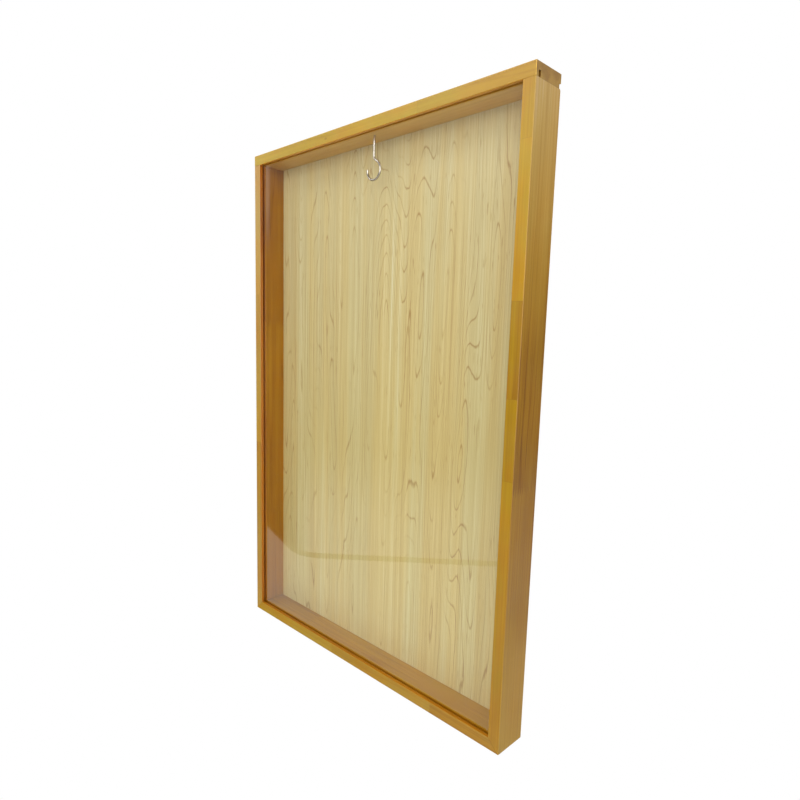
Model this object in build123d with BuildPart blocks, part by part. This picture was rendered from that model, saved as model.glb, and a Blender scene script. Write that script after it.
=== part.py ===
"""Wall mounted showcase for one hanging garment: a shallow glazed wooden case.

Four lengths of one grooved moulding make the frame. The stiles and the bottom rail are mitred
and splined together; the top rail is a loose cap that lifts off two pairs of dowels, with the
garment hook screwed into its underside. A clear pane stands in the grooves and draws out
upwards once the cap is off. The back panel is screwed into the rabbets at the rear.

Frame: +X to the right and -Y to the viewer, seen from the front, and +Z up. The wall is the
plane Y = 0, and the origin lies midway between the two keyhole entries that hold the case.
"""

import os

from build123d import *

# ---- Driving dimensions, millimetres ---------------------------------------------------------

# Outer size of the case
CASE_WIDTH = 610.0
CASE_HEIGHT = 900.0
CASE_DEPTH = 57.0

# Frame moulding: 18 mm stock, grooved near the front and rabbeted at the rear
STOCK = 18.0
OUTER_ARRIS = 1.0
INNER_ARRIS = 0.6
LIP = 6.0
GROOVE_WIDTH = 4.0
GROOVE_DEPTH = 8.0
RABBET_DEPTH = 4.0
RABBET_REACH = 6.5
STILE_RELIEF = 2.5
CAP_END_BEVEL = 0.5

# Pane and back panel
PANE_THICKNESS = 3.0
PANE_SIDE_CLEARANCE = 0.5
PANE_TOP_CLEARANCE = 1.0
PANE_BEVEL = 0.3
PANEL_THICKNESS = RABBET_DEPTH
PANEL_CLEARANCE = 0.5

# Dowels that locate the cap
DOWEL_DIAMETER = 6.0
DOWEL_LENGTH = 24.0
DOWEL_STANDING = 10.0
DOWEL_BEVEL = 0.8
DOWEL_FRONT_SETBACK = 22.0
DOWEL_REAR_SETBACK = 42.0
CAP_HOLE_DIAMETER = 6.3
CAP_HOLE_DEPTH = 11.0
GLUE_GAP = 0.02

# Splines across the mitres
SPLINE_THICKNESS = 3.0
SPLINE_WIDTH = 10.0
SPLINE_FRONT_SETBACK = 13.0
SPLINE_REAR_SETBACK = 8.0
SPLINE_FROM_INNER_CORNER = 7.0
SPLINE_SLOT_CLEARANCE = 0.04

# Garment hook: a long screw hook of bent wire
HOOK_WIRE = 3.5
HOOK_SETBACK = 25.0
HOOK_IN_WOOD = 14.0
HOOK_POINT = 3.0
HOOK_NECK = 31.7
HOOK_NECK_BEND = 5.0
HOOK_SHOULDER = 7.2
HOOK_RING = 14.6
HOOK_LEAN = 56.0
HOOK_CURL = 249.0
HOOK_TIP_BEVEL = 0.7

# Keyhole hanger plates, flush in the rear of the stiles
HANGER_DROP = 70.0
PLATE_WIDTH = 10.0
PLATE_BELOW_ENTRY = 19.0
PLATE_ABOVE_ENTRY = 31.0
PLATE_THICKNESS = 1.5
PLATE_CORNER = 2.0
PLATE_INSET = 6.5
PLATE_FIT = 0.1
ENTRY_DIAMETER = 8.0
SLOT_WIDTH = 4.2
SLOT_RISE = 10.0
POCKET_WIDTH = 8.6
POCKET_DEPTH = 9.0
PLATE_SCREW_BELOW = 13.0
PLATE_SCREW_ABOVE = 25.0

# Countersunk wood screws
SCREW_SUNK = 0.15
SCREW_POINT = 2.5
PILOT_CLEARANCE = 0.02
HOLE_CLEARANCE = 0.1
COUNTERSINK_ANGLE = 90.0
RECESS_LENGTH = 2.4
RECESS_WIDTH = 0.6
RECESS_DEPTH = 1.0
PANEL_SCREW = {"shank": 2.5, "head": 5.0, "length": 13.0}
PLATE_SCREW = {"shank": 3.0, "head": 5.2, "length": 14.0}
STILE_SCREW_COUNT = 5
STILE_SCREW_PITCH = 200.0
BOTTOM_SCREW_COUNT = 3
BOTTOM_SCREW_PITCH = 190.0

# ---- Places worked out from them -------------------------------------------------------------

SIDE = CASE_WIDTH / 2
FRONT = -CASE_DEPTH
TOP = HANGER_DROP
BOTTOM = TOP - CASE_HEIGHT
UNDERSIDE = TOP - STOCK
INNER_SIDE = SIDE - STOCK
INNER_BOTTOM = BOTTOM + STOCK
GROOVE_CENTRE = FRONT + LIP + GROOVE_WIDTH / 2
DOWEL_X = SIDE - STOCK / 2
DOWEL_ROWS = (FRONT + DOWEL_FRONT_SETBACK, FRONT + DOWEL_REAR_SETBACK)
DOWEL_BASE = UNDERSIDE + DOWEL_STANDING - DOWEL_LENGTH
SPLINE_LENGTH = CASE_DEPTH - SPLINE_FRONT_SETBACK - SPLINE_REAR_SETBACK
SPLINE_Y = (FRONT + SPLINE_FRONT_SETBACK - SPLINE_REAR_SETBACK) / 2
SPLINE_X = INNER_SIDE + SPLINE_FROM_INNER_CORNER
SPLINE_Z = INNER_BOTTOM - SPLINE_FROM_INNER_CORNER
HOOK_Y = FRONT + HOOK_SETBACK
PLATE_X = SIDE - PLATE_INSET
RABBET_LINE = RABBET_REACH / 2
STILE_SCREW_X = INNER_SIDE + RABBET_LINE
BOTTOM_SCREW_Z = INNER_BOTTOM - RABBET_LINE
STILE_SCREW_MIDDLE = (UNDERSIDE + INNER_BOTTOM) / 2


# ---- The moulding and the screws -------------------------------------------------------------


def moulding():
    """Section of the frame stock. X runs from the outer face inwards, Y from front to rear."""
    groove_front = LIP
    groove_rear = LIP + GROOVE_WIDTH
    rabbet_front = CASE_DEPTH - RABBET_DEPTH
    with BuildSketch() as section:
        with BuildLine():
            Polyline(
                (0, 0),
                (STOCK, 0),
                (STOCK, groove_front),
                (STOCK - GROOVE_DEPTH, groove_front),
                (STOCK - GROOVE_DEPTH, groove_rear),
                (STOCK, groove_rear),
                (STOCK, rabbet_front),
                (STOCK - RABBET_REACH, rabbet_front),
                (STOCK - RABBET_REACH, CASE_DEPTH),
                (0, CASE_DEPTH),
                close=True,
            )
        make_face()
        fillet(section.vertices().group_by(Axis.X)[0], radius=OUTER_ARRIS)
        lip_corners = section.vertices().group_by(Axis.X)[-1].sort_by(Axis.Y)
        fillet(lip_corners[0:2], radius=INNER_ARRIS)
    return section.sketch


def countersunk_screw(shank, head, length):
    """Wood screw with a flat countersunk head at the origin and its point towards -Y."""
    with BuildPart() as screw:
        with BuildSketch():
            with BuildLine():
                Polyline(
                    (0, 0),
                    (head / 2, 0),
                    (shank / 2, -(head - shank) / 2),
                    (shank / 2, SCREW_POINT - length),
                    (0, -length),
                    close=True,
                )
            make_face()
        revolve(axis=Axis.Y)
        with BuildSketch(Plane.XZ):
            Rectangle(RECESS_LENGTH, RECESS_WIDTH)
            Rectangle(RECESS_WIDTH, RECESS_LENGTH)
        extrude(amount=RECESS_DEPTH, mode=Mode.SUBTRACT)
    return screw.part


MOULDING = moulding()

# The wall plane seen from the wall, its Y downwards
WALL = Plane(origin=(0, 0, 0), x_dir=(1, 0, 0), z_dir=(0, 1, 0))
MITRE_LEFT = Plane(origin=(-SIDE, 0, BOTTOM), z_dir=(-1, 0, 1))
MITRE_RIGHT = Plane(origin=(SIDE, 0, BOTTOM), z_dir=(1, 0, 1))
LEFT_SPLINE_PLACE = Location((-SPLINE_X, SPLINE_Y, SPLINE_Z), (0, 45, 0))
RIGHT_SPLINE_PLACE = Location((SPLINE_X, SPLINE_Y, SPLINE_Z), (0, -45, 0))
SPLINE_SLOT = (
    SPLINE_WIDTH + SPLINE_SLOT_CLEARANCE,
    SPLINE_LENGTH + SPLINE_SLOT_CLEARANCE,
    SPLINE_THICKNESS + SPLINE_SLOT_CLEARANCE,
)

stile_screw_rows = [
    STILE_SCREW_MIDDLE + (index - (STILE_SCREW_COUNT - 1) / 2) * STILE_SCREW_PITCH
    for index in range(STILE_SCREW_COUNT)
]
bottom_screw_columns = [
    (index - (BOTTOM_SCREW_COUNT - 1) / 2) * BOTTOM_SCREW_PITCH
    for index in range(BOTTOM_SCREW_COUNT)
]
side_screw_places = [(x, z) for x in (-STILE_SCREW_X, STILE_SCREW_X) for z in stile_screw_rows]
bottom_screw_places = [(x, BOTTOM_SCREW_Z) for x in bottom_screw_columns]
panel_screw_places = side_screw_places + bottom_screw_places
pilot_depth = PANEL_SCREW["length"] + SCREW_SUNK - PANEL_THICKNESS + HOLE_CLEARANCE
plate_pilot_depth = PLATE_SCREW["length"] + SCREW_SUNK - PLATE_THICKNESS + HOLE_CLEARANCE

# ---- Left stile ------------------------------------------------------------------------------

with BuildPart() as left_stile:
    with BuildSketch(Plane(origin=(-SIDE, FRONT, BOTTOM), x_dir=(1, 0, 0), z_dir=(0, 0, 1))):
        add(MOULDING)
    extrude(amount=CASE_HEIGHT - STOCK)
    split(bisect_by=MITRE_LEFT, keep=Keep.TOP)

    # Relief on the top rear corner, where the back panel stands above the stile
    relief = Plane(origin=(0, 0, UNDERSIDE - STILE_RELIEF), z_dir=(0, 1, 1))
    split(bisect_by=relief, keep=Keep.BOTTOM)

    # Holes for the cap dowels
    with BuildSketch(Plane.XY.offset(UNDERSIDE)):
        with Locations(*[(-DOWEL_X, row) for row in DOWEL_ROWS]):
            Circle(DOWEL_DIAMETER / 2 + GLUE_GAP)
    extrude(amount=DOWEL_STANDING - DOWEL_LENGTH - GLUE_GAP, mode=Mode.SUBTRACT)

    # Slot for the mitre spline
    with Locations(LEFT_SPLINE_PLACE):
        Box(*SPLINE_SLOT, mode=Mode.SUBTRACT)

    # Recess for the hanger plate, open to the rabbet, and the pocket for the wall screw's head
    with BuildSketch(Plane.XZ):
        with Locations((-PLATE_X, (PLATE_ABOVE_ENTRY - PLATE_BELOW_ENTRY) / 2)):
            Rectangle(
                PLATE_WIDTH + 2 * PLATE_FIT,
                PLATE_ABOVE_ENTRY + PLATE_BELOW_ENTRY + 2 * PLATE_FIT,
            )
    extrude(amount=PLATE_THICKNESS, mode=Mode.SUBTRACT)
    with BuildSketch(Plane.XZ.offset(PLATE_THICKNESS)):
        with Locations((-PLATE_X, SLOT_RISE / 2)):
            SlotCenterToCenter(SLOT_RISE, POCKET_WIDTH, rotation=90)
    extrude(amount=POCKET_DEPTH - PLATE_THICKNESS, mode=Mode.SUBTRACT)
    with BuildSketch(Plane.XZ.offset(PLATE_THICKNESS)):
        with Locations((-PLATE_X, -PLATE_SCREW_BELOW), (-PLATE_X, PLATE_SCREW_ABOVE)):
            Circle(PLATE_SCREW["shank"] / 2 + PILOT_CLEARANCE)
    extrude(amount=plate_pilot_depth, mode=Mode.SUBTRACT)

    # Pilot holes for the back panel's screws, in the floor of the rabbet
    with BuildSketch(Plane.XZ.offset(RABBET_DEPTH)):
        with Locations(*[(-STILE_SCREW_X, row) for row in stile_screw_rows]):
            Circle(PANEL_SCREW["shank"] / 2 + PILOT_CLEARANCE)
    extrude(amount=pilot_depth, mode=Mode.SUBTRACT)

left_stile.part.label = "left_stile"

# ---- Right stile -----------------------------------------------------------------------------

with BuildPart() as right_stile:
    mirror(left_stile.part, about=Plane.YZ)

right_stile.part.label = "right_stile"

# ---- Bottom rail -----------------------------------------------------------------------------

with BuildPart() as bottom_rail:
    with BuildSketch(Plane(origin=(SIDE, FRONT, BOTTOM), x_dir=(0, 0, 1), z_dir=(-1, 0, 0))):
        add(MOULDING)
    extrude(amount=CASE_WIDTH)
    split(bisect_by=MITRE_LEFT, keep=Keep.BOTTOM)
    split(bisect_by=MITRE_RIGHT, keep=Keep.BOTTOM)
    with Locations(LEFT_SPLINE_PLACE, RIGHT_SPLINE_PLACE):
        Box(*SPLINE_SLOT, mode=Mode.SUBTRACT)
    with BuildSketch(Plane.XZ.offset(RABBET_DEPTH)):
        with Locations(*bottom_screw_places):
            Circle(PANEL_SCREW["shank"] / 2 + PILOT_CLEARANCE)
    extrude(amount=pilot_depth, mode=Mode.SUBTRACT)

bottom_rail.part.label = "bottom_rail"

# ---- Mitre splines ---------------------------------------------------------------------------

with BuildPart() as left_mitre_spline:
    with Locations(LEFT_SPLINE_PLACE):
        Box(SPLINE_WIDTH, SPLINE_LENGTH, SPLINE_THICKNESS)

left_mitre_spline.part.label = "left_mitre_spline"

with BuildPart() as right_mitre_spline:
    with Locations(RIGHT_SPLINE_PLACE):
        Box(SPLINE_WIDTH, SPLINE_LENGTH, SPLINE_THICKNESS)

right_mitre_spline.part.label = "right_mitre_spline"

# ---- Top rail, the lift-off cap --------------------------------------------------------------

with BuildPart() as top_rail:
    with BuildSketch(Plane(origin=(-SIDE, FRONT, TOP), x_dir=(0, 0, -1), z_dir=(1, 0, 0))):
        add(MOULDING)
    extrude(amount=CASE_WIDTH)

    # Eased edges round the top of both square ends
    top_ends = top_rail.faces().sort_by(Axis.Z)[-1].edges().filter_by(Axis.Y)
    chamfer(top_ends, length=CAP_END_BEVEL)

    # Blind holes that drop over the dowels
    with BuildSketch(Plane.XY.offset(UNDERSIDE)):
        with Locations(*[(x, row) for x in (-DOWEL_X, DOWEL_X) for row in DOWEL_ROWS]):
            Circle(CAP_HOLE_DIAMETER / 2)
    extrude(amount=CAP_HOLE_DEPTH, mode=Mode.SUBTRACT)

    # Hole for the garment hook's screw
    with BuildSketch(Plane.XY.offset(UNDERSIDE)):
        with Locations((0, HOOK_Y)):
            Circle(HOOK_WIRE / 2 + PILOT_CLEARANCE)
    extrude(amount=HOOK_IN_WOOD + HOLE_CLEARANCE, mode=Mode.SUBTRACT)

top_rail.part.label = "top_rail"

# ---- Cap dowels ------------------------------------------------------------------------------

with BuildPart() as left_cap_dowels:
    with BuildSketch(Plane.XY.offset(DOWEL_BASE)):
        with Locations(*[(-DOWEL_X, row) for row in DOWEL_ROWS]):
            Circle(DOWEL_DIAMETER / 2)
    extrude(amount=DOWEL_LENGTH)
    chamfer(left_cap_dowels.edges().filter_by(GeomType.CIRCLE), length=DOWEL_BEVEL)

left_cap_dowels.part.label = "left_cap_dowels"

with BuildPart() as right_cap_dowels:
    mirror(left_cap_dowels.part, about=Plane.YZ)

right_cap_dowels.part.label = "right_cap_dowels"

# ---- Front pane ------------------------------------------------------------------------------

pane_width = 2 * (INNER_SIDE + GROOVE_DEPTH - PANE_SIDE_CLEARANCE)
pane_bottom = INNER_BOTTOM - GROOVE_DEPTH
pane_top = UNDERSIDE + GROOVE_DEPTH - PANE_TOP_CLEARANCE

with BuildPart() as front_pane:
    with BuildSketch(Plane.XZ.offset(-GROOVE_CENTRE - PANE_THICKNESS / 2)):
        with Locations((0, (pane_bottom + pane_top) / 2)):
            Rectangle(pane_width, pane_top - pane_bottom)
    extrude(amount=PANE_THICKNESS)
    chamfer(front_pane.faces().filter_by(Axis.Y).edges(), length=PANE_BEVEL)

front_pane.part.label = "front_pane"

# ---- Back panel ------------------------------------------------------------------------------

panel_width = 2 * (INNER_SIDE + RABBET_REACH - PANEL_CLEARANCE)
panel_bottom = INNER_BOTTOM - RABBET_REACH + PANEL_CLEARANCE
panel_top = UNDERSIDE + RABBET_REACH - PANEL_CLEARANCE

with BuildPart() as back_panel:
    with BuildSketch(Plane.XZ):
        with Locations((0, (panel_bottom + panel_top) / 2)):
            Rectangle(panel_width, panel_top - panel_bottom)
    extrude(amount=PANEL_THICKNESS)
    with Locations(WALL):
        with Locations(*[(x, -z) for x, z in panel_screw_places]):
            CounterSinkHole(
                radius=PANEL_SCREW["shank"] / 2 + HOLE_CLEARANCE,
                counter_sink_radius=PANEL_SCREW["head"] / 2 + SCREW_SUNK + HOLE_CLEARANCE,
                counter_sink_angle=COUNTERSINK_ANGLE,
            )

back_panel.part.label = "back_panel"

# ---- Back panel screws -----------------------------------------------------------------------

panel_screw = countersunk_screw(**PANEL_SCREW)

with BuildPart() as back_panel_screws:
    with Locations(*[(x, -SCREW_SUNK, z) for x, z in panel_screw_places]):
        add(panel_screw)

back_panel_screws.part.label = "back_panel_screws"

# ---- Hanger plates ---------------------------------------------------------------------------

with BuildPart() as left_hanger_plate:
    with BuildSketch(Plane.XZ):
        with Locations((-PLATE_X, (PLATE_ABOVE_ENTRY - PLATE_BELOW_ENTRY) / 2)):
            RectangleRounded(PLATE_WIDTH, PLATE_ABOVE_ENTRY + PLATE_BELOW_ENTRY, PLATE_CORNER)
        with Locations((-PLATE_X, 0)):
            Circle(ENTRY_DIAMETER / 2, mode=Mode.SUBTRACT)
        with Locations((-PLATE_X, SLOT_RISE / 2)):
            SlotCenterToCenter(SLOT_RISE, SLOT_WIDTH, rotation=90, mode=Mode.SUBTRACT)
    extrude(amount=PLATE_THICKNESS)
    with Locations(WALL):
        with Locations((-PLATE_X, PLATE_SCREW_BELOW), (-PLATE_X, -PLATE_SCREW_ABOVE)):
            CounterSinkHole(
                radius=PLATE_SCREW["shank"] / 2 + HOLE_CLEARANCE,
                counter_sink_radius=PLATE_SCREW["head"] / 2 + SCREW_SUNK + HOLE_CLEARANCE,
                counter_sink_angle=COUNTERSINK_ANGLE,
            )

left_hanger_plate.part.label = "left_hanger_plate"

with BuildPart() as right_hanger_plate:
    mirror(left_hanger_plate.part, about=Plane.YZ)

right_hanger_plate.part.label = "right_hanger_plate"

# ---- Hanger plate screws ---------------------------------------------------------------------

plate_screw = countersunk_screw(**PLATE_SCREW)

with BuildPart() as left_hanger_screws:
    with Locations(
        (-PLATE_X, -SCREW_SUNK, -PLATE_SCREW_BELOW),
        (-PLATE_X, -SCREW_SUNK, PLATE_SCREW_ABOVE),
    ):
        add(plate_screw)

left_hanger_screws.part.label = "left_hanger_screws"

with BuildPart() as right_hanger_screws:
    mirror(left_hanger_screws.part, about=Plane.YZ)

right_hanger_screws.part.label = "right_hanger_screws"

# ---- Garment hook ----------------------------------------------------------------------------

with BuildPart() as garment_hook:
    with BuildLine(Plane(origin=(0, HOOK_Y, UNDERSIDE), x_dir=(1, 0, 0), z_dir=(0, -1, 0))):
        shank = Line((0, HOOK_IN_WOOD - HOOK_POINT), (0, -HOOK_NECK))
        neck = JernArc(shank @ 1, shank % 1, HOOK_NECK_BEND, HOOK_LEAN)
        shoulder = PolarLine(neck @ 1, HOOK_SHOULDER, direction=neck % 1)
        JernArc(shoulder @ 1, shoulder % 1, HOOK_RING, -HOOK_CURL)
    with BuildSketch(Plane.XY.offset(UNDERSIDE + HOOK_IN_WOOD - HOOK_POINT)):
        with Locations((0, HOOK_Y)):
            Circle(HOOK_WIRE / 2)
    sweep()
    tip = garment_hook.faces().filter_by(GeomType.PLANE).sort_by(Axis.Z)[0]
    chamfer(tip.edges(), length=HOOK_TIP_BEVEL)
    with Locations((0, HOOK_Y, UNDERSIDE + HOOK_IN_WOOD - HOOK_POINT / 2)):
        Cone(HOOK_WIRE / 2, HOOK_WIRE / 8, HOOK_POINT)

garment_hook.part.label = "garment_hook"

# ---- One STEP file per piece -----------------------------------------------------------------

os.makedirs("parts", exist_ok=True)
export_step(left_stile.part, "parts/left_stile.step")
export_step(right_stile.part, "parts/right_stile.step")
export_step(bottom_rail.part, "parts/bottom_rail.step")
export_step(left_mitre_spline.part, "parts/left_mitre_spline.step")
export_step(right_mitre_spline.part, "parts/right_mitre_spline.step")
export_step(top_rail.part, "parts/top_rail.step")
export_step(left_cap_dowels.part, "parts/left_cap_dowels.step")
export_step(right_cap_dowels.part, "parts/right_cap_dowels.step")
export_step(front_pane.part, "parts/front_pane.step")
export_step(back_panel.part, "parts/back_panel.step")
export_step(back_panel_screws.part, "parts/back_panel_screws.step")
export_step(left_hanger_plate.part, "parts/left_hanger_plate.step")
export_step(right_hanger_plate.part, "parts/right_hanger_plate.step")
export_step(left_hanger_screws.part, "parts/left_hanger_screws.step")
export_step(right_hanger_screws.part, "parts/right_hanger_screws.step")
export_step(garment_hook.part, "parts/garment_hook.step")
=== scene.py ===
import math
from dataclasses import dataclass

import bmesh
import bpy
from mathutils import Matrix, Vector


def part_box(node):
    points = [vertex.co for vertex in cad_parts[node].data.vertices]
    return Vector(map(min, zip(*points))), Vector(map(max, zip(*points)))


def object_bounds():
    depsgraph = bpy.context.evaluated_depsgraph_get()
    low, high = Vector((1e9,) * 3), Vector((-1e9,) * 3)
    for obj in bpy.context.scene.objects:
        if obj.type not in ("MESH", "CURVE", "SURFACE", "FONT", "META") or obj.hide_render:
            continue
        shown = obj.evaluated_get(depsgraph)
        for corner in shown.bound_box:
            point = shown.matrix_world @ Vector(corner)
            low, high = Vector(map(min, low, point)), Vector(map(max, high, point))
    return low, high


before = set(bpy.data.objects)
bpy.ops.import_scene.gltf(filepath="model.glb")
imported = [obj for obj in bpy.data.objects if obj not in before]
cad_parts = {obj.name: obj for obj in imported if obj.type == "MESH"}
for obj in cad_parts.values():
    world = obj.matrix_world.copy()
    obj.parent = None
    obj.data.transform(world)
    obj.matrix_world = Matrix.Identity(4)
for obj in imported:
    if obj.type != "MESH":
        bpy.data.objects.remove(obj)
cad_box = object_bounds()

# ---- The case's own places, metres, read from the CAD frame -------------------------------------

MM = 0.001
LOW, HIGH = cad_box
MIDDLE = (LOW + HIGH) / 2
SIDE = HIGH.x
FRONT = LOW.y
BOTTOM, TOP = LOW.z, HIGH.z
INNER_SIDE = -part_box("left_stile")[1].x
CAP_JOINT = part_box("top_rail")[0].z
INNER_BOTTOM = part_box("bottom_rail")[1].z
PANE_FRONT, PANE_REAR = (corner.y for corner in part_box("front_pane"))
PANE_MIDDLE = (PANE_FRONT + PANE_REAR) / 2

WHITE = (1.0, 1.0, 1.0)


def grey(level):
    return (level, level, level)


# ---- Node trees ---------------------------------------------------------------------------------


class Tree:
    """Builds a shader's nodes. All methods but node return the socket that carries the result."""

    def __init__(self, tree):
        self.tree = tree
        tree.nodes.clear()

    def node(self, kind, *inputs, **settings):
        made = self.tree.nodes.new(kind)
        for name, value in settings.items():
            setattr(made, name, value)
        for socket, value in zip(made.inputs, inputs):
            self.put(socket, value)
        return made

    def put(self, socket, value):
        """Links or sets an input; colours are given without their alpha."""
        if isinstance(value, bpy.types.NodeSocket):
            self.tree.links.new(value, socket)
        elif socket.type == "RGBA":
            socket.default_value = (*value, 1.0)
        else:
            socket.default_value = value

    def place(self):
        """The point in the row frame at rest, metres, and its three parts."""
        point = self.node("ShaderNodeTexCoord").outputs["Object"]
        return point, self.split(point)

    def split(self, value):
        return self.node("ShaderNodeSeparateXYZ", value).outputs[:]

    def join(self, *parts):
        return self.node("ShaderNodeCombineXYZ", *parts).outputs[0]

    def normal(self):
        """The surface's normal, as its three parts."""
        return self.split(self.node("ShaderNodeNewGeometry").outputs["Normal"])

    def facing(self, axis):
        """1 on faces square to the axis, 0 on the others."""
        return self.remap(self.math("ABSOLUTE", self.normal()[axis]), 0.75, 0.9)

    def math(self, operation, *values, clamp=False):
        return self.node("ShaderNodeMath", *values, operation=operation, use_clamp=clamp).outputs[0]

    def vector(self, operation, *values):
        made = self.node("ShaderNodeVectorMath", *values, operation=operation)
        return made.outputs["Value" if operation == "LENGTH" else "Vector"]

    def product(self, first, *others):
        for other in others:
            first = self.math("MULTIPLY", first, other)
        return first

    def add(self, base, amount, value):
        """base plus amount times value."""
        return self.math("MULTIPLY_ADD", value, amount, base)

    def sway(self, base, amount, noise):
        """base, moved up and down by a noise about its middle."""
        return self.add(base, amount, self.math("SUBTRACT", noise, 0.5))

    def between(self, share, low, high):
        """From low at share 0 to high at share 1."""
        return self.math("MULTIPLY_ADD", share, self.math("SUBTRACT", high, low), low)

    def share(self, value, low, high):
        """How far value has gone from low to high."""
        return self.math("DIVIDE", self.math("SUBTRACT", value, low), high - low)

    def gap(self, value, middle):
        return self.math("ABSOLUTE", self.math("SUBTRACT", value, middle))

    def remap(self, value, low, high, to_low=0.0, to_high=1.0):
        """Smooth step of value from low..high to to_low..to_high."""
        made = self.node("ShaderNodeMapRange", interpolation_type="SMOOTHSTEP")
        for socket, number in zip(made.inputs, (value, low, high, to_low, to_high)):
            self.put(socket, number)
        return made.outputs[0]

    def line(self, gap, core, edge, strength=1.0):
        """strength on a line up to a gap of core from its middle, fading out to edge."""
        return self.remap(gap, core, edge, strength, 0.0)

    def noise(self, place, stretch, detail=2.0, roughness=0.55):
        """Value noise, 0 to 1, with stretch turns per metre along each axis."""
        made = self.node("ShaderNodeTexNoise")
        self.put(made.inputs["Vector"], self.vector("MULTIPLY", place, stretch))
        self.put(made.inputs["Scale"], 1.0)
        self.put(made.inputs["Detail"], detail)
        self.put(made.inputs["Roughness"], roughness)
        return made.outputs[0]

    def ramp(self, value, stops, interpolation="LINEAR"):
        made = self.node("ShaderNodeValToRGB", value)
        ramp = made.color_ramp
        ramp.interpolation = interpolation
        while len(ramp.elements) < len(stops):
            ramp.elements.new(1.0)
        for element, (place, colour) in zip(ramp.elements, stops):
            element.position = place
            element.color = (*colour, 1.0)
        return made.outputs[0]

    def mix(self, factor, first, second, blend="MIX"):
        made = self.node("ShaderNodeMix", factor, data_type="RGBA", blend_type=blend)
        self.put(made.inputs[6], first)
        self.put(made.inputs[7], second)
        return made.outputs[2]

    def tinted(self, strength, colour, tint):
        """The colour, multiplied by the tint as far as strength says."""
        return self.mix(strength, colour, self.mix(1.0, colour, tint, "MULTIPLY"))

    def bump(self, height, distance):
        made = self.node("ShaderNodeBump")
        self.put(made.inputs["Strength"], 1.0)
        self.put(made.inputs["Distance"], distance)
        self.put(made.inputs["Height"], height)
        return made.outputs[0]

    def white_to_camera(self, shader, white):
        """The shader as light and reflections see it; the camera's own rays see the white one."""
        seen = self.node("ShaderNodeLightPath").outputs["Is Camera Ray"]
        return self.node("ShaderNodeMixShader", seen, shader, white).outputs[0]


def surface(name, build, on_stage=False):
    """A material whose nodes build(tree) makes; build returns the Principled inputs by name. On
    the stage the camera sees it as plain white."""
    material = bpy.data.materials.new(name)
    material.use_nodes = True
    tree = Tree(material.node_tree)
    principled = tree.node("ShaderNodeBsdfPrincipled")
    for socket, value in build(tree).items():
        tree.put(principled.inputs[socket], value)
    shader = principled.outputs[0]
    if on_stage:
        glow = tree.node("ShaderNodeEmission", WHITE, 1.0).outputs[0]
        shader = tree.white_to_camera(shader, glow)
    tree.node("ShaderNodeOutputMaterial", shader)
    return material


# ---- Frame lumber -------------------------------------------------------------------------------

FACE_STRIP = 7.0 * MM
GROOVE_DEPTH = 9.0 * MM
SLOT_HALF = 2.1 * MM
FINGER_PITCH = 5.5 * MM
FINGER_LENGTH = 13.0 * MM
GLUE_LINE = 0.35 * MM
RING_SPACING = 5.2 * MM
SEED_SHIFT = 7.3

# Lacquered pine by tone, from its darkest line to its palest wood
PINE = [
    (0.00, (0.085, 0.032, 0.003)),
    (0.30, (0.232, 0.103, 0.003)),
    (0.55, (0.372, 0.204, 0.005)),
    (0.80, (0.478, 0.304, 0.011)),
    (1.00, (0.560, 0.392, 0.034)),
]
END_GRAIN = [(0.42, (0.29, 0.172, 0.047)), (0.60, (0.155, 0.070, 0.026))]
# brown of the glue lines, also used for the painted shadow in the cap's seam
GLUE_AND_SHADOW_BROWN = (0.10, 0.040, 0.005)
WORN_LACQUER = (0.62, 0.42, 0.06)

# Tints that multiply the lumber's colour: the lacquer's, and the painted shade in the slot and the
# groove
YELLOW_LACQUER = (0.97, 1.03, 1.2)
AMBER_LACQUER = (1.02, 0.94, 0.85)
# painted shade: darkens the inside of the slot at the top rail's ends
SLOT_PAINTED_SHADE = (0.30, 0.22, 0.2)
# painted shade: the darker, redder colour of the shaded lips and groove round the pane
GROOVE_PAINTED_SHADE = (0.90, 0.66, 0.5)

# Turns per metre of the grain's parts, along a board's length, depth and width
DRIFT = (1.6, 14.0, 14.0)
VEIN = (0.9, 42.0, 42.0)
FIBRE = (7.0, 700.0, 700.0)
STREAK = (1.6, 210.0, 210.0)
CLOUD = (7.0, 16.0, 16.0)
PORE = (75.0, 1900.0, 1900.0)
AMBER = (9.0, 30.0, 30.0)
RUB = (22.0, 160.0, 160.0)

# How far each of them moves a board's tone
FIBRE_TONE = 0.42
STREAK_TONE = 0.52
CLOUD_TONE = 0.22
LATE_WOOD_TONE = -0.07
VEIN_TONE = -0.13
PORE_TONE = -0.12
GROWTH_LINE_TONE = -0.13
KNOT_TONE = -0.24

# Lines of glue, and the painted shadow in the cap's seam: how far each is solid from its middle,
# where it ends, and its strength
STRIP_LINE = (0.10 * MM, 0.50 * MM, 0.16)
MITRE_LINE = (0.15 * MM, 0.55 * MM, 0.45)
# painted shadow: the dark line along the seam between the cap and the stiles
CAP_SEAM_SHADOW = (0.15 * MM, 0.60 * MM, 0.30)


@dataclass
class Member:
    """One frame member's lumber: a face strip glued on a body, both of finger-jointed boards."""

    name: str
    length: int  # the axis that its boards run along, 0 or 2
    section: list  # its depth and width, each as (axis, low, high)
    face_boards: list  # where each board starts along the member, its tone and its seed
    body_boards: list
    face_tints: list  # at the member's low and high ends
    body_tints: list
    # painted light and shade: how much paler or darker the body is painted along its length
    painted_light_along: tuple = ()  # places along the body, with how much paler it is there
    growth_lines: tuple = ()  # where each starts and ends along the body, its depth and its lean
    knot: tuple = ()  # the middle of a small knot
    mitred: bool = False
    # painted shade: how much darker the body is painted on its upward and rearward faces
    outer_painted_shade: float = 0.0  # added to the body's tone on its upward and rearward faces
    sheen: float = 0.4


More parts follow.
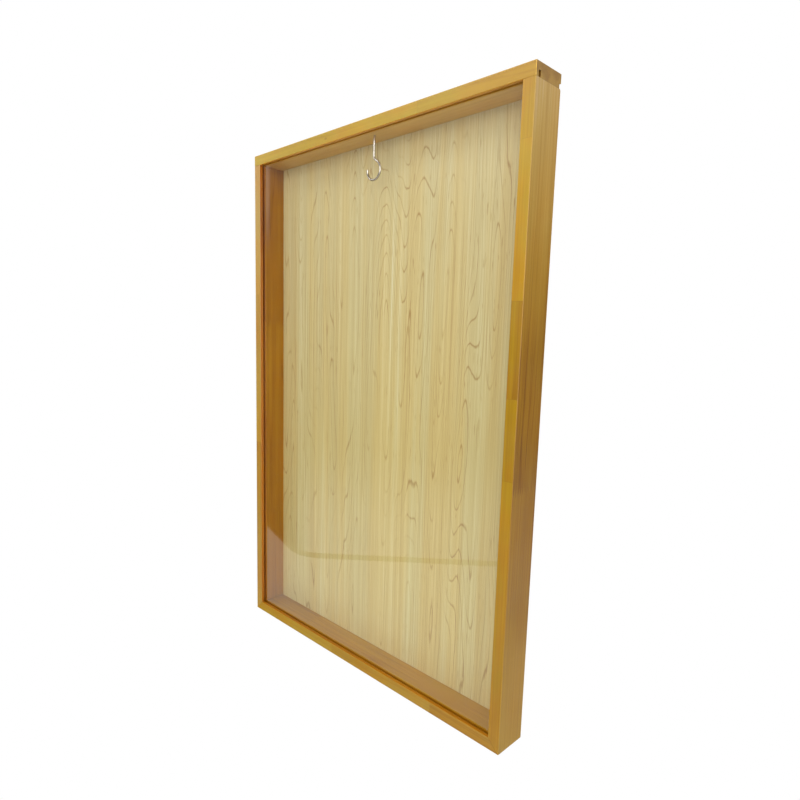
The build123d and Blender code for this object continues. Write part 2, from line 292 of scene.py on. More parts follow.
def board_at(tree, along, low, high, boards):
    """Tone and seed of the board at a place along its member."""
    stops = [((start - low) / (high - low), (tone, seed, 0.0)) for start, tone, seed in boards]
    colour = tree.ramp(tree.share(along, low, high), stops, "CONSTANT")
    return tree.node("ShaderNodeSeparateColor", colour).outputs[:2]


def glued_boards(tree, along, boards):
    """Tone and seed of the board at a place, and 1 on the glue line where it meets the next."""
    low, high = boards[0][0], boards[-1][0] + 1.0
    tone, seed = board_at(tree, along, low, high, boards)
    beyond = tree.math("ADD", along, GLUE_LINE)
    next_seed = board_at(tree, beyond, low, high, boards)[1]
    return tone, seed, tree.math("GREATER_THAN", tree.gap(seed, next_seed), 0.01)


class Lumber:
    """The lacquered lumber of one member. Its attributes and its methods' results are sockets."""

    def __init__(self, tree, member):
        self.tree = tree
        self.member = member
        self.point, self.parts = tree.place()
        self.along = self.parts[member.length]
        self.depth = self.parts[1]
        self.width = self.parts[2 - member.length]
        self.height = self.parts[2]
        self.from_middle = tree.math("ABSOLUTE", self.parts[0])
        self.end = tree.facing(member.length)
        near_front = tree.math("LESS_THAN", self.depth, FRONT + MM)
        self.in_face = tree.product(tree.facing(1), near_front)
        self.in_body = tree.math("SUBTRACT", 1.0, self.in_face)
        self.tone, self.seed, self.glue = self.boards()
        self.log = self.place_in_log()
        self.fibre = tree.noise(self.log, FIBRE, detail=4.0, roughness=0.7)
        self.pores = tree.remap(tree.noise(self.log, PORE), 0.60, 0.74)

    def boards(self):
        """Tone, seed and glue line of the face strip's boards or the body's."""
        # Fingers zigzag through the depth, so they show on the sides and are straight on the front
        saw = self.tree.math("FRACT", self.tree.math("DIVIDE", self.depth, FINGER_PITCH))
        along = self.tree.add(self.along, 2 * FINGER_LENGTH, self.tree.gap(saw, 0.5))
        body = glued_boards(self.tree, along, self.member.body_boards)
        face = glued_boards(self.tree, self.along, self.member.face_boards)
        return [self.tree.between(self.in_face, *pair) for pair in zip(body, face)]

    def place_in_log(self):
        """The board's own length, depth and width in its log, moved by its seed."""
        shift = self.tree.math("MULTIPLY", self.seed, SEED_SHIFT)
        length = self.tree.math("ADD", self.along, shift)
        return self.tree.join(length, self.tree.math("ADD", self.depth, shift), self.width)

    def tone_with_painted_light(self):
        """The boards' tone, with painted light and shade along the body, and painted shade on its
        upward and rearward faces.
        """
        tree, tone, painted_light_along = self.tree, self.tone, self.member.painted_light_along
        if painted_light_along:
            low, high = painted_light_along[0][0], painted_light_along[-1][0]
            stops = [((place - low) / (high - low), grey(amount)) for place, amount in painted_light_along]
            # painted light and shade: the body's tone lifted or lowered along its length
            painted_light_ramp = tree.ramp(tree.share(self.along, low, high), stops)
            tone = tree.math("MULTIPLY_ADD", painted_light_ramp, self.in_body, tone)
        # painted shade: the body's upward and rearward faces are painted darker
        normal = tree.normal()
        outer = tree.remap(tree.math("MAXIMUM", normal[2], normal[1]), 0.6, 0.9)
        return tree.add(tone, self.member.outer_painted_shade, tree.product(outer, self.in_body))

    def late_wood(self):
        """0 to 1 through each growth ring, dark late wood at its end, with the pith outside."""
        tree = self.tree
        width_low = self.member.section[1][1]
        pith_depth = tree.add(-0.11, 0.09, self.seed)
        pith_width = tree.add(width_low + 0.05, -0.12, self.seed)
        in_depth = tree.math("SUBTRACT", self.depth, pith_depth)
        in_width = tree.math("SUBTRACT", self.width, pith_width)
        radius = tree.vector("LENGTH", tree.join(in_depth, in_width, 0.0))
        wander = tree.add(radius, 5.0 * RING_SPACING, tree.noise(self.log, DRIFT))
        rings = tree.math("FRACT", tree.math("DIVIDE", wander, RING_SPACING))
        early = grey(0.1)
        return tree.ramp(rings, [(0.0, early), (0.55, grey(0.25)), (0.88, grey(1.0)), (1.0, early)])

    def veins(self):
        """1 on thin wandering dark lines along the board: the contour of a long soft noise."""
        field = self.tree.noise(self.log, VEIN, roughness=0.45)
        return self.tree.line(self.tree.gap(field, 0.5), 0.0, 0.016)

    def growth_line(self, start, end, depth, lean):
        """1 on one fine dark line of the body's side, between two places along it."""
        tree = self.tree
        wander = tree.noise(tree.join(self.along, 0.0, 0.0), (11.0, 1.0, 1.0))
        centre = tree.add(depth, lean, tree.math("SUBTRACT", self.along, start))
        centre = tree.sway(centre, 6.0 * MM, wander)
        line = tree.line(tree.gap(self.depth, centre), 0.2 * MM, 1.3 * MM)
        from_start = tree.remap(self.along, start, start + 0.02)
        to_end = tree.remap(self.along, end - 0.08, end, 1.0, 0.0)
        return tree.product(line, from_start, to_end, self.in_body)

    def knot(self):
        """1 in the small knot, which is longer along the board than across it."""
        offset = self.tree.vector("SUBTRACT", self.point, self.member.knot)
        swirl = self.tree.vector("LENGTH", self.tree.vector("MULTIPLY", offset, (0.55, 0.4, 1.0)))
        return self.tree.line(swirl, 0.6 * MM, 2.6 * MM)

    def grain(self):
        """The wood's tone: its board's, with the body's painted light and shade, moved by
        everything in the grain.
        """
        tree = self.tree
        streak = tree.noise(self.log, STREAK, detail=3.0, roughness=0.6)
        value = tree.sway(0.0, FIBRE_TONE, self.fibre)
        value = tree.sway(value, STREAK_TONE, streak)
        value = tree.add(value, LATE_WOOD_TONE, self.late_wood())
        value = tree.add(value, VEIN_TONE, self.veins())
        value = tree.add(value, PORE_TONE, self.pores)
        contrast = tree.add(0.45, 0.25, self.in_body)
        value = tree.math("MULTIPLY_ADD", value, contrast, self.tone_with_painted_light())
        value = tree.sway(value, CLOUD_TONE, tree.noise(self.log, CLOUD))
        for line in self.member.growth_lines:
            value = tree.add(value, GROWTH_LINE_TONE, self.growth_line(*line))
        if self.member.knot:
            value = tree.add(value, KNOT_TONE, self.knot())
        return value

    def lacquered(self, colour):
        """The wood under the member's tints and a lacquer that is amber in patches."""
        tree, member = self.tree, self.member
        share = tree.share(self.along, LOW[member.length], HIGH[member.length])
        body_tint = tree.mix(share, *member.body_tints)
        face_tint = tree.mix(share, *member.face_tints)
        colour = tree.mix(1.0, colour, tree.mix(self.in_face, body_tint, face_tint), "MULTIPLY")
        amber = tree.remap(tree.noise(self.log, AMBER), 0.40, 0.62)
        strength = tree.add(0.35, 0.65, self.in_face)
        return tree.tinted(strength, colour, tree.mix(amber, YELLOW_LACQUER, AMBER_LACQUER))

    def jointed(self, colour):
        """End grain drinks more lacquer, glue lines and the mitre are darker, and the cap's seam
        over the stiles has a painted shadow.
        """
        tree = self.tree
        heart = tree.noise(self.point, (30.0, 38.0, 38.0))
        colour = tree.mix(tree.product(self.end, 0.75), colour, tree.ramp(heart, END_GRAIN))
        colour = tree.mix(tree.product(self.glue, 0.42), colour, GLUE_AND_SHADOW_BROWN)
        strip = tree.line(tree.gap(self.depth, FRONT + FACE_STRIP), *STRIP_LINE)
        colour = tree.mix(strip, colour, GLUE_AND_SHADOW_BROWN)
        if self.member.mitred:
            from_side = tree.math("SUBTRACT", SIDE, self.from_middle)
            from_base = tree.math("SUBTRACT", self.height, BOTTOM)
            mitre = tree.line(tree.gap(from_side, from_base), *MITRE_LINE)
            colour = tree.mix(mitre, colour, GLUE_AND_SHADOW_BROWN)
        # painted shadow along the seam between the cap and the stiles
        seam_shadow = tree.line(tree.gap(self.height, CAP_JOINT), *CAP_SEAM_SHADOW)
        over_stile = tree.math("GREATER_THAN", self.from_middle, INNER_SIDE)
        return tree.mix(tree.product(seam_shadow, over_stile), colour, GLUE_AND_SHADOW_BROWN)

    def recess_painted_shade(self, colour):
        """Painted shade: the lips and groove round the pane are painted darker and redder, and the
        slot where the cap's groove runs out much darker.
        """
        tree = self.tree
        # painted shade inside the slot where the pane's groove runs out through the top rail's ends
        if not self.member.mitred:
            slot = tree.product(
                tree.math("GREATER_THAN", self.from_middle, INNER_SIDE + GROOVE_DEPTH),
                tree.math("LESS_THAN", self.height, TOP - MM),
                tree.math("SUBTRACT", 1.0, self.end),
                tree.math("LESS_THAN", tree.gap(self.depth, PANE_MIDDLE), SLOT_HALF),
            )
            colour = tree.tinted(slot, colour, SLOT_PAINTED_SHADE)
        # painted shade on the lips and in the groove round the pane
        groove_shade = tree.product(
            tree.math("LESS_THAN", self.from_middle, INNER_SIDE + GROOVE_DEPTH),
            tree.math("LESS_THAN", self.height, CAP_JOINT + GROOVE_DEPTH),
            tree.math("GREATER_THAN", self.height, INNER_BOTTOM - GROOVE_DEPTH),
            tree.math("LESS_THAN", self.depth, PANE_REAR + MM),
            self.in_body,
        )
        return tree.tinted(groove_shade, colour, GROOVE_PAINTED_SHADE)

    def rubbed(self, colour):
        """Lacquer is thin on the arrises, where handling has rubbed it paler."""
        tree = self.tree
        from_arris = tree.math("MAXIMUM", *(
            tree.math("MINIMUM", tree.gap(self.parts[axis], low), tree.gap(self.parts[axis], high))
            for axis, low, high in self.member.section
        ))
        thin = tree.line(from_arris, 0.3 * MM, 1.2 * MM, 0.12)
        rub = tree.remap(tree.noise(self.log, RUB, detail=3.0), 0.4, 0.7)
        return tree.mix(tree.product(thin, rub), colour, WORN_LACQUER)

    def inputs(self):
        tree, sheen = self.tree, self.member.sheen
        colour = self.lacquered(tree.ramp(self.grain(), PINE))
        smudge = tree.noise(self.point, (14.0, 14.0, 14.0), detail=4.0)
        rough = tree.add(tree.remap(smudge, 0.3, 0.7, 0.30, 0.42), 0.12, self.pores)
        relief = tree.add(tree.add(self.fibre, -1.2, self.pores), -0.8, self.glue)
        return {
            "Base Color": self.rubbed(self.recess_painted_shade(self.jointed(colour))),
            "Roughness": tree.add(rough, 0.18, self.end),
            "Normal": tree.bump(relief, 0.04 * MM),
            "Specular IOR Level": sheen,
            "Coat Weight": 0.3 * sheen,
            "Coat Roughness": tree.remap(smudge, 0.3, 0.7, 0.12, 0.22),
        }


def lumber(member):
    return surface(member.name, lambda tree: Lumber(tree, member).inputs())


DEPTH = (1, FRONT, 0.0)

wood_right = lumber(Member(
    name="lumber_right",
    length=2,
    section=[DEPTH, (0, INNER_SIDE, SIDE)],
    face_boards=[
        (-1.0, 0.51, 0.13),
        (-0.446, 0.48, 0.55),
        (-0.337, 0.45, 0.31),
        (-0.211, 0.63, 0.87),
        (-0.017, 0.57, 0.42),
    ],
    body_boards=[(-1.0, 0.44, 0.20), (-0.454, 0.42, 0.62)],
    face_tints=[(0.98, 0.96, 0.8), (0.98, 0.96, 0.8)],
    body_tints=[(1.0, 0.94, 2.2), (1.03, 1.01, 6.5)],
    # painted light: the side is painted paler towards its top and, less, towards its bottom
    painted_light_along=(
        (-0.83, 0.21),
        (-0.78, 0.17),
        (-0.62, 0.01),
        (-0.455, -0.05),
        (-0.28, 0.02),
        (-0.09, 0.30),
        (0.07, 0.44),
    ),
    growth_lines=(
        (-0.440, -0.200, -0.032, 0.045),
        (-0.425, -0.060, -0.043, 0.015),
        (-0.400, -0.230, -0.020, 0.030),
    ),
    mitred=True,
))
wood_left = lumber(Member(
    name="lumber_left",
    length=2,
    section=[DEPTH, (0, -SIDE, -INNER_SIDE)],
    face_boards=[(-1.0, 0.50, 0.71), (-0.480, 0.61, 0.24), (-0.189, 0.66, 0.93)],
    body_boards=[(-1.0, 0.48, 0.52), (-0.620, 0.52, 0.34), (-0.235, 0.46, 0.83)],
    face_tints=[(0.98, 0.93, 0.9), (0.97, 0.97, 6.5)],
    body_tints=[(1.14, 0.90, 0.9), (1.10, 0.84, 0.8)],
    # painted shade: the body is painted darker towards its top, under the top rail
    painted_light_along=((-0.83, 0.03), (-0.25, 0.03), (-0.10, -0.04), (0.07, -0.36)),
    mitred=True,
))
wood_top = lumber(Member(
    name="lumber_top",
    length=0,
    section=[DEPTH, (2, CAP_JOINT, TOP)],
    face_boards=[(-1.0, 0.64, 0.36), (0.113, 0.58, 0.79)],
    body_boards=[(-1.0, 0.92, 0.28), (0.040, 0.90, 0.66)],
    face_tints=[(0.96, 1.0, 1.0), (0.96, 1.0, 1.0)],
    body_tints=[(1.22, 1.02, 1.7), (1.36, 1.20, 1.9)],
    knot=(-0.091, FRONT, 0.0596),
    # painted shade: the top rail's upward and rearward faces are painted darker
    outer_painted_shade=-0.36,
))
wood_bottom = lumber(Member(
    name="lumber_bottom",
    length=0,
    section=[DEPTH, (2, BOTTOM, INNER_BOTTOM)],
    face_boards=[(-1.0, 0.60, 0.18), (-0.060, 0.56, 0.64), (0.170, 0.50, 0.05)],
    body_boards=[(-1.0, 0.52, 0.47), (-0.150, 0.56, 0.91)],
    face_tints=[(0.89, 0.88, 0.7), (1.00, 1.05, 7.0)],
    body_tints=[(1.13, 1.03, 0.8), (1.17, 1.09, 0.9)],
    mitred=True,
    sheen=0.1,
))

# ---- Small wooden parts -------------------------------------------------------------------------


def plain_wood(name, stretch, dark, light):
    """Unfinished wood of one small part, with stretch turns of fibre per metre along each axis."""

    def build(tree):
        point, _ = tree.place()
        fibre = tree.noise(point, stretch, detail=5.0, roughness=0.6)
        fleck = tree.noise(point, tuple(4.0 * turns for turns in stretch))
        flecks = tree.remap(fleck, 0.62, 0.72)
        colour = tree.ramp(fibre, [(0.25, dark), (0.75, light)])
        return {
            "Base Color": tree.mix(tree.product(flecks, 0.4), colour, dark),
            "Roughness": tree.remap(fibre, 0.3, 0.7, 0.55, 0.72),
            "Normal": tree.bump(fibre, 0.08 * MM),
        }

    return surface(name, build)


dowel_wood = plain_wood(
    "beech_dowel", (700.0, 700.0, 30.0), (0.46, 0.27, 0.12), (0.66, 0.45, 0.24)
)
spline_wood = plain_wood(
    "birch_spline", (500.0, 25.0, 500.0), (0.50, 0.34, 0.17), (0.68, 0.52, 0.31)
)

# ---- Back panel ---------------------------------------------------------------------------------

MAPLE = [
    (0.00, (0.380, 0.225, 0.075)),
    (0.35, (0.535, 0.395, 0.170)),
    (0.62, (0.630, 0.510, 0.240)),
    (1.00, (0.730, 0.655, 0.400)),
]
FIBREBOARD = [(0.38, (0.27, 0.150, 0.070)), (0.60, (0.50, 0.335, 0.180))]
FIBREBOARD_SPECK = (0.15, 0.08, 0.04)

# Tints that multiply the maple's colour
COOL_BLUSH = (0.968, 1.002, 1.035)
WARM_BLUSH = (0.998, 0.968, 0.885)
LOW_TINT = (0.965, 0.967, 0.90)
HIGH_TINT = (1.01, 1.04, 1.14)

# Turns per metre of the maple's parts, across the panel and up it
CATHEDRAL = (10.5, 1.25, 1.0)
CATHEDRAL_WOBBLE = (90.0, 22.0, 1.0)
CATHEDRAL_PRESENCE = (15.0, 2.6, 1.0)
BAND = (42.0, 0.5, 1.0)
MAPLE_FIBRE = (560.0, 2.4, 1.0)
THREAD = (200.0, 1.2, 1.0)
PALE_STREAK = (75.0, 0.9, 1.0)
TICK = (330.0, 30.0, 1.0)
BLUSH = (24.0, 0.7, 1.0)

# The maple's own tone, and how far each of them moves it
MAPLE_TONE = 0.55
BAND_TONE = 0.66
MAPLE_FIBRE_TONE = 1.40
THREAD_TONE = 0.30
PALE_STREAK_TONE = 0.24
CATHEDRAL_TONE = -0.52
TICK_TONE = -0.34

# How many cathedral lines their noise has room for, and how far the wobble moves it
CATHEDRALS = 38.0
WOBBLE_SHARE = 0.009


def cathedral_lines(tree, flat):
    """1 on thin nested lines: contours of a noise drawn out upward."""
    field = tree.noise(flat, CATHEDRAL, detail=1.6, roughness=0.42)
    field = tree.add(field, WOBBLE_SHARE, tree.noise(flat, CATHEDRAL_WOBBLE, detail=3.0))
    contour = tree.math("FRACT", tree.math("MULTIPLY", field, CATHEDRALS))
    clear = grey(0.0)
    return tree.ramp(contour, [(0.0, clear), (0.87, clear), (0.95, grey(1.0)), (1.0, clear)])


def panel_face(tree, parts):
    """Maple-patterned face: fine upright fibres, pale streaks and thin nested cathedral lines."""
    flat = tree.join(parts[0], parts[2], 0.0)
    presence = tree.remap(tree.noise(flat, CATHEDRAL_PRESENCE), 0.34, 0.56)
    fibre = tree.noise(flat, MAPLE_FIBRE, detail=4.0, roughness=0.75)
    streak = tree.noise(flat, PALE_STREAK, detail=3.0, roughness=0.6)
    ticks = tree.product(tree.remap(tree.noise(flat, TICK), 0.62, 0.72), presence)

    tone = tree.sway(MAPLE_TONE, BAND_TONE, tree.noise(flat, BAND, detail=4.0, roughness=0.7))
    tone = tree.sway(tone, MAPLE_FIBRE_TONE, fibre)
    tone = tree.sway(tone, THREAD_TONE, tree.noise(flat, THREAD))
    tone = tree.add(tone, PALE_STREAK_TONE, tree.remap(streak, 0.58, 0.74))
    tone = tree.add(tone, CATHEDRAL_TONE, tree.product(cathedral_lines(tree, flat), presence))
    tone = tree.add(tone, TICK_TONE, ticks)

    blush = tree.remap(tree.noise(flat, BLUSH, detail=3.0), 0.40, 0.60)
    by_height = tree.remap(parts[2], -0.60, -0.05)
    colour = tree.ramp(tone, MAPLE)
    colour = tree.mix(1.0, colour, tree.mix(blush, COOL_BLUSH, WARM_BLUSH), "MULTIPLY")
    colour = tree.mix(1.0, colour, tree.mix(by_height, LOW_TINT, HIGH_TINT), "MULTIPLY")
    return colour, fibre, ticks


def board_back(tree, point):
    """Bare fibreboard: matted pale and dark fibres, with darker specks."""
    blur = tree.noise(point, (22.0, 22.0, 22.0), detail=5.0)
    warp = tree.noise(point, (60.0, 60.0, 60.0))
    right, up = tree.product(warp, 12.0 * MM), tree.product(warp, -12.0 * MM)
    bent = tree.vector("ADD", point, tree.join(right, 0.0, up))
    fibre = tree.noise(bent, (950.0, 950.0, 240.0), detail=4.0, roughness=0.65)
    cross_fibre = tree.noise(bent, (240.0, 950.0, 950.0), detail=4.0, roughness=0.65)
    mat = tree.math("ADD", tree.product(fibre, 0.5), tree.product(cross_fibre, 0.5))
    speck = tree.remap(tree.noise(point, (420.0, 420.0, 420.0), detail=1.0), 0.62, 0.70)
    value = tree.math("ADD", tree.product(blur, 0.12), tree.product(mat, 0.88))
    colour = tree.ramp(value, FIBREBOARD)
    return tree.mix(tree.product(speck, 0.6), colour, FIBREBOARD_SPECK), mat


def panel_build(tree):
    point, parts = tree.place()
    face, fibre, ticks = panel_face(tree, parts)
    back, back_fibre = board_back(tree, point)
    is_face = tree.remap(tree.math("MULTIPLY", tree.normal()[1], -1.0), 0.5, 0.9)
    relief = tree.between(is_face, back_fibre, tree.add(fibre, -0.6, ticks))
    satin = tree.remap(fibre, 0.3, 0.7, 0.40, 0.50)
    return {
        "Base Color": tree.mix(is_face, back, face),
        "Roughness": tree.between(is_face, 0.85, satin),
        "Normal": tree.bump(relief, 0.03 * MM),
    }


panel_wood = surface("maple_panel", panel_build)

# ---- Metal --------------------------------------------------------------------------------------


def plated(name, colour, stain, roughness, brush):
    """Plated metal: brush gives the turns per metre of its fine scratches along each axis."""

    def build(tree):
        point, _ = tree.place()
        scratch = tree.noise(point, brush, detail=4.0, roughness=0.65)
        cloud = tree.noise(point, (90.0, 90.0, 90.0), detail=4.0)
        clouded = tree.mix(tree.remap(cloud, 0.35, 0.75), colour, stain)
        polish = tree.sway(roughness, 0.16, scratch)
        return {
            "Base Color": tree.mix(tree.remap(scratch, 0.6, 0.8, 0.0, 0.3), clouded, stain),
            "Metallic": 1.0,
            "Roughness": tree.math("MAXIMUM", polish, 0.05),
            "Normal": tree.bump(scratch, 0.006 * MM),
        }

    return surface(name, build)


hook_metal = plated(
    "nickel_hook", (0.56, 0.53, 0.48), (0.40, 0.36, 0.31), 0.22, (2600.0, 2600.0, 900.0)
)
plate_metal = plated(
    "zinc_plate", (0.66, 0.67, 0.68), (0.50, 0.51, 0.50), 0.36, (2400.0, 500.0, 120.0)
)
screw_metal = plated(
    "zinc_screw", (0.70, 0.66, 0.52), (0.52, 0.47, 0.34), 0.32, (1800.0, 1800.0, 1800.0)
)

# ---- Clear pane ---------------------------------------------------------------------------------

ACRYLIC_INDEX = 1.49
ACRYLIC_CLEAR = (0.985, 0.990, 0.982)
DUST = (0.9, 0.9, 0.88)
BOTH_SKINS = 1.8


def clear_pane():
    """Clear acrylic: light goes straight through it, and its outer skin reflects for both."""
    material = bpy.data.materials.new("clear_acrylic")
    material.use_nodes = True
    tree = Tree(material.node_tree)
    point, _ = tree.place()
    haze = tree.noise(point, (6.0, 6.0, 6.0), detail=5.0)
    hairline = tree.noise(point, (40.0, 40.0, 1400.0))
    scratches = tree.remap(hairline, 0.70, 0.76, 0.0, 0.03)
    polish = tree.math("ADD", tree.remap(haze, 0.35, 0.7, 0.012, 0.03), scratches)
    fresnel = tree.node("ShaderNodeFresnel", ACRYLIC_INDEX).outputs[0]
    inside = tree.node("ShaderNodeNewGeometry").outputs["Backfacing"]
    outside = tree.math("SUBTRACT", 1.0, inside)
    skins = tree.math("MULTIPLY", tree.product(fresnel, outside), BOTH_SKINS, clamp=True)
    through = tree.node("ShaderNodeBsdfTransparent", ACRYLIC_CLEAR).outputs[0]
    glint = tree.node("ShaderNodeBsdfGlossy", WHITE, polish).outputs[0]
    dust = tree.node("ShaderNodeBsdfDiffuse", DUST).outputs[0]
    clear = tree.node("ShaderNodeMixShader", skins, through, glint).outputs[0]
    veil = tree.product(tree.remap(haze, 0.3, 0.8, 0.001, 0.004), outside)
    whole = tree.node("ShaderNodeMixShader", veil, clear, dust).outputs[0]
    tree.node("ShaderNodeOutputMaterial", whole)
    return material


pane_plastic = clear_pane()

# ---- Every CAD node gets its finish -------------------------------------------------------------

FINISHES = {
    "top_rail": wood_top,
    "left_stile": wood_left,
    "right_stile": wood_right,
    "bottom_rail": wood_bottom,
    "left_mitre_spline": spline_wood,
    "right_mitre_spline": spline_wood,
    "left_cap_dowels": dowel_wood,
    "right_cap_dowels": dowel_wood,
    "front_pane": pane_plastic,
    "back_panel": panel_wood,
    "back_panel_screws": screw_metal,
    "left_hanger_plate": plate_metal,
    "right_hanger_plate": plate_metal,
    "left_hanger_screws": screw_metal,
    "right_hanger_screws": screw_metal,
    "garment_hook": hook_metal,
}

for name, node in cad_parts.items():
    for slot in node.material_slots:
        slot.material = FINISHES[name]

# ---- Floor --------------------------------------------------------------------------------------

# The floor's outline is what shows in the pane: two straight edges and a rounded corner
FLOOR_DROP = 0.42
FLOOR_CORNER = Vector((-1.36, -0.916))
FLOOR_CORNER_RADIUS = 0.18
FLOOR_BEFORE_CORNER = [Vector((3.0, 3.0)), Vector((-3.5, 3.0)), Vector((-3.5, -1.55))]
FLOOR_AFTER_CORNER = [Vector((-0.705, -1.504)), Vector((0.6, -2.5)), Vector((3.0, -2.5))]
ARC_STEPS = 16

# The dark sheet of painted shade at the floor's edge is scaled about the point below the camera's
# mirror image, so it shows evenly
FLOOR_CENTRE = Vector((0.73, 0.60))
EDGE_SHADE_SCALE = 1.026
EDGE_SHADE_DROP = 1.0 * MM


def rounded_corner(before, corner, after, radius):
    """The points of the arc that rounds an outline's corner."""
    back = (before - corner).normalized()
    ahead = (after - corner).normalized()
    half = back.angle(ahead) / 2
    middle = corner + (back + ahead).normalized() * radius / math.sin(half)
    first = corner + back * radius / math.tan(half) - middle
    last = corner + ahead * radius / math.tan(half) - middle
    steps = (step / ARC_STEPS for step in range(ARC_STEPS + 1))
    return [middle + radius * first.slerp(last, step) for step in steps]


def floor_outline():
    before, after = FLOOR_BEFORE_CORNER[-1], FLOOR_AFTER_CORNER[0]
    arc = rounded_corner(before, FLOOR_CORNER, after, FLOOR_CORNER_RADIUS)
    return FLOOR_BEFORE_CORNER + arc + FLOOR_AFTER_CORNER


def floor_build(tree):
    point, _ = tree.place()
    grain = tree.noise(point, (60.0, 60.0, 60.0), detail=4.0)
    return {
        "Base Color": tree.ramp(grain, [(0.3, (0.62, 0.61, 0.55)), (0.7, (0.66, 0.65, 0.59))]),
        "Roughness": tree.remap(grain, 0.3, 0.7, 0.75, 0.85),
        "Normal": tree.bump(grain, 0.1 * MM),
    }


# painted shade: a dark sheet just under the floor, showing as a dark band along the floor's edge in
# the pane
def edge_shade_build(tree):
    point, _ = tree.place()
    grain = tree.noise(point, (40.0, 40.0, 40.0), detail=4.0)
    return {
        "Base Color": tree.ramp(grain, [(0.3, (0.05, 0.035, 0.01)), (0.7, (0.08, 0.055, 0.02))]),
        "Roughness": 0.9,
    }


def build_floor(name, scale, drop, build):
    """A flat sheet on the floor's outline, scaled about FLOOR_CENTRE and lowered by drop."""
    mesh = bpy.data.meshes.new(name)
    sheet = bmesh.new()
    height = BOTTOM - FLOOR_DROP - drop
    corners = [FLOOR_CENTRE + scale * (corner - FLOOR_CENTRE) for corner in floor_outline()]
    sheet.faces.new([sheet.verts.new((*corner, height)) for corner in corners])
    bmesh.ops.recalc_face_normals(sheet, faces=sheet.faces)
    sheet.to_mesh(mesh)
    sheet.free()
    mesh.materials.append(surface(name, build, on_stage=True))
    floor = bpy.data.objects.new(name, mesh)
    bpy.context.scene.collection.objects.link(floor)


build_floor("pale_floor", 1.0, 0.0, floor_build)
build_floor("floor_edge_shade", EDGE_SHADE_SCALE, EDGE_SHADE_DROP, edge_shade_build)

# ---- Light --------------------------------------------------------------------------------------

# The sky's level by the height of a direction, from the horizon to straight up
SKY = [
    (0.05, grey(0.02)),
    (0.20, grey(0.06)),
    (0.30, grey(0.42)),
    (0.38, grey(0.85)),
    (0.60, grey(1.00)),
    (1.00, grey(0.60)),
]

# What the wall's side adds to the sky over it, and how bright the studio's other parts are
ABOVE_WALL_LEVEL = -0.7
WALL_LEVEL = 3.1
LEFT_LEVEL = 0.45
CURTAIN_LEVEL = 1.9
SKIRTING_LEVEL = 0.54

# Where they start or end round the case, as a direction's x over its y
SKIRTING_END = (1.30, 1.40)
SCREEN_START = (1.508, 1.524)
CURTAIN_START = (1.57, 1.65)


def build_sky():
    """The studio round the case: dim along the horizon and paler upward, a broad bright wall to
    the front right, a screen and a brighter curtain to the front left, and a pale skirting."""
    world = bpy.data.worlds.new("studio")
    bpy.context.scene.world = world
    world.use_nodes = True
    tree = Tree(world.node_tree)
    x, y, height = tree.split(tree.node("ShaderNodeTexCoord").outputs["Generated"])
    turn = tree.math("DIVIDE", x, y)
    front = tree.remap(y, -0.15, 0.15, 1.0, 0.0)
    front_right = tree.product(tree.remap(x, -0.15, 0.15), front)

    skirting = tree.product(
        tree.remap(height, -0.33, -0.17, SKIRTING_LEVEL, 0.0),
        tree.remap(turn, *SKIRTING_END, 1.0, 0.0),
    )
    wall = tree.product(
        front_right,
        tree.remap(height, -0.25, -0.15),
        tree.remap(height, 0.20, 0.30, 1.0, 0.0),
    )
    screen = tree.product(tree.remap(turn, *SCREEN_START), tree.remap(height, 0.10, 0.20))
    curtain = tree.product(
        tree.remap(turn, *CURTAIN_START),
        tree.remap(height, -0.20, -0.05, 0.0, CURTAIN_LEVEL),
    )
    left = tree.product(tree.math("ADD", screen, curtain), front)
    level = tree.math("ADD", tree.ramp(height, SKY), skirting)
    level = tree.product(level, tree.add(1.0, ABOVE_WALL_LEVEL, front_right))
    level = tree.add(level, WALL_LEVEL, wall)
    level = tree.add(level, LEFT_LEVEL, left)

    light = tree.node("ShaderNodeBackground", WHITE, level).outputs[0]
    white = tree.node("ShaderNodeBackground", WHITE, 1.0).outputs[0]
    tree.node("ShaderNodeOutputWorld", tree.white_to_camera(light, white))


def glare_free():
    """What the softboxes light: all but the clear pane, so they don't glare in it, as behind a
    polariser."""
    lit = bpy.data.collections.new("glare_free")
    lit.objects.link(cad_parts["front_pane"])
    lit.collection_objects[0].light_linking.link_state = "EXCLUDE"
    return lit


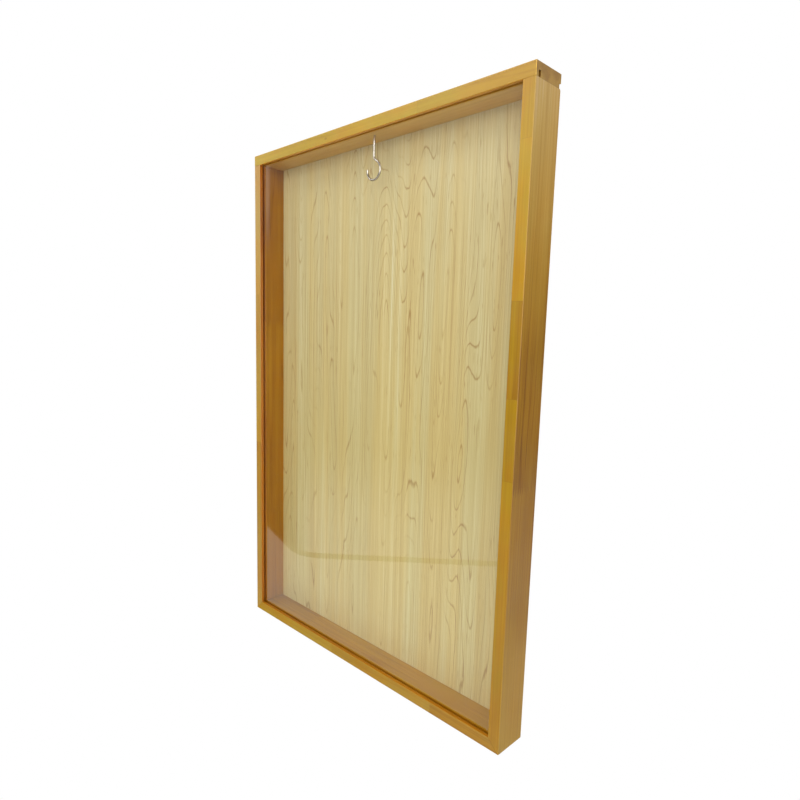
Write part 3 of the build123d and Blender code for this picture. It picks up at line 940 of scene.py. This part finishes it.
def softbox(name, offset, size, power, lit):
    """A rectangular soft light that looks at the case's middle from an offset, size its width and
    height in metres."""
    light = bpy.data.lights.new(name, "AREA")
    light.shape = "RECTANGLE"
    light.size, light.size_y = size
    light.energy = power
    lamp = bpy.data.objects.new(name, light)
    place = MIDDLE + Vector(offset)
    lamp.location = place
    lamp.rotation_euler = (MIDDLE - place).to_track_quat("-Z", "Y").to_euler()
    lamp.light_linking.receiver_collection = lit
    bpy.context.scene.collection.objects.link(lamp)


# Offset from the case's middle, width and height, and power in watts
SOFTBOXES = {
    "high_right": ((1.2, -1.1, 1.15), (1.0, 0.8), 9.6),
    "front": ((-0.2, -2.2, 0.9), (1.2, 0.9), 13.0),
    "high_left": ((-1.3, -1.3, 1.75), (1.0, 0.8), 12.5),
    "rear": ((0.0, 2.2, 0.5), (0.5, 0.9), 9.0),
}

lit_pieces = glare_free()
build_sky()
for name, (offset, size, power) in SOFTBOXES.items():
    softbox(name, offset, size, power, lit_pieces)

# ---- Camera -------------------------------------------------------------------------------------

AZIMUTH = math.radians(45.09)
ELEVATION = math.radians(8.14)
ROLL = math.radians(1.50)
CAMERA_PLACE = (0.7284, -0.7059, -0.2546)
LENS = 26.97
SENSOR = 36.0
SHIFT = (0.0115, 0.0244)


def build_camera():
    data = bpy.data.cameras.new("camera")
    data.lens = LENS
    data.sensor_width = SENSOR
    data.shift_x, data.shift_y = SHIFT
    data.clip_start = 0.01
    camera = bpy.data.objects.new("camera", data)
    flat = math.cos(ELEVATION)
    forward = Vector((-math.sin(AZIMUTH) * flat, math.cos(AZIMUTH) * flat, -math.sin(ELEVATION)))
    level_right = forward.cross(Vector((0, 0, 1))).normalized()
    level_up = level_right.cross(forward)
    right = math.cos(ROLL) * level_right + math.sin(ROLL) * level_up
    up = right.cross(forward)
    turn = Matrix((right, up, -forward)).transposed()
    camera.matrix_world = Matrix.Translation(CAMERA_PLACE) @ turn.to_4x4()
    bpy.context.scene.collection.objects.link(camera)
    bpy.context.scene.camera = camera


build_camera()
bpy.context.scene.view_settings.view_transform = "Standard"
